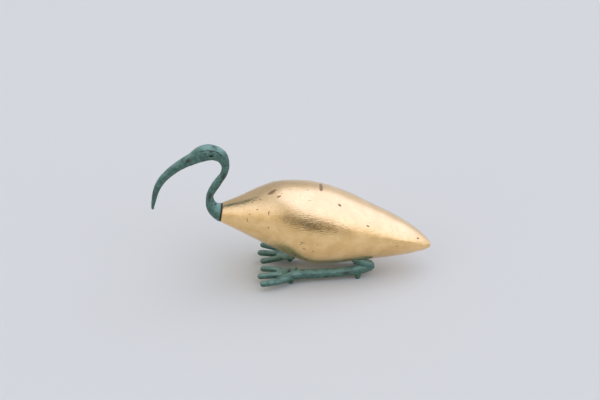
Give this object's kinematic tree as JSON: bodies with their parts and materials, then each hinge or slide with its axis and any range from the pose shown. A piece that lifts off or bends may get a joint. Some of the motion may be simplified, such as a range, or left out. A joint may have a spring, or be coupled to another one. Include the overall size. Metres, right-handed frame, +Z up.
{
  "type": "ibis figurine",
  "caption": "Squatting ibis with a gilded wooden body drawn out to a pointed tail, a bronze head with a long down-curved bill on an S-shaped neck, and folded bronze legs.",
  "frame": {"origin": "on the ground, under the middle of the whole figure's length and width, where the pegs under the feet stand", "axes": "+X runs back to the tail and the bird faces -X, +Y points to the bird's right side, +Z is up"},
  "size_m": [0.3006, 0.09, 0.1548],
  "materials": {
    "gilded_wood": "gold leaf over gesso on carved wood, worn and finely crackled",
    "bronze": "matt green patina with brown spots"
  },
  "bodies": {
    "root": {"body": "gilded_wood", "head_and_neck": "bronze", "left_leg": "bronze", "right_leg": "bronze"}
  },
  "joints": []
}
